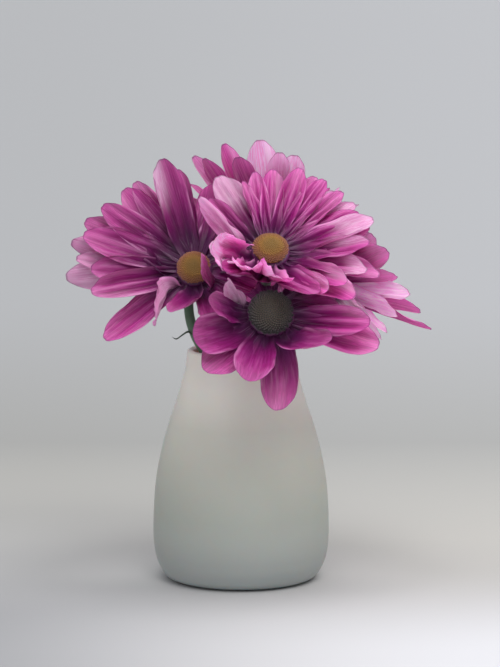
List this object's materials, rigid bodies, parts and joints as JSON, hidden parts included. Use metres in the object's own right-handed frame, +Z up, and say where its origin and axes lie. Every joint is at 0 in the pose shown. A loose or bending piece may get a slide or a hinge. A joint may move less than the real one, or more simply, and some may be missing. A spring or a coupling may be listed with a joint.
{
  "type": "daisies in a vase",
  "caption": "Daisy-form blooms with pink-purple ray petals and yellow-green discs, on cut stems in a small frosted bottle vase filled with water.",
  "frame": {"origin": "centre of the vase's flat foot, on the table", "axes": "+Z up along the vase's axis, -Y towards the viewer of the picture, +X to the viewer's right"},
  "size_m": [0.1399, 0.1337, 0.1671],
  "materials": {
    "vase": "satin frosted, almost opaque off-white",
    "water": "clear water",
    "petal": "soft satin petal, paler underneath and towards the tip",
    "disc": "matte, packed small florets",
    "stem": "satin green stem"
  },
  "bodies": {
    "root": {"vase": "vase", "water": "water", "stem_left": "stem", "rays_left": "petal", "disc_left": "disc", "stem_top": "stem", "rays_top": "petal", "disc_top": "disc", "stem_low": "stem", "rays_low": "petal", "disc_low": "disc", "stem_right": "stem", "rays_right": "petal", "disc_right": "disc", "stem_back": "stem", "rays_back": "petal", "disc_back": "disc"}
  },
  "joints": []
}
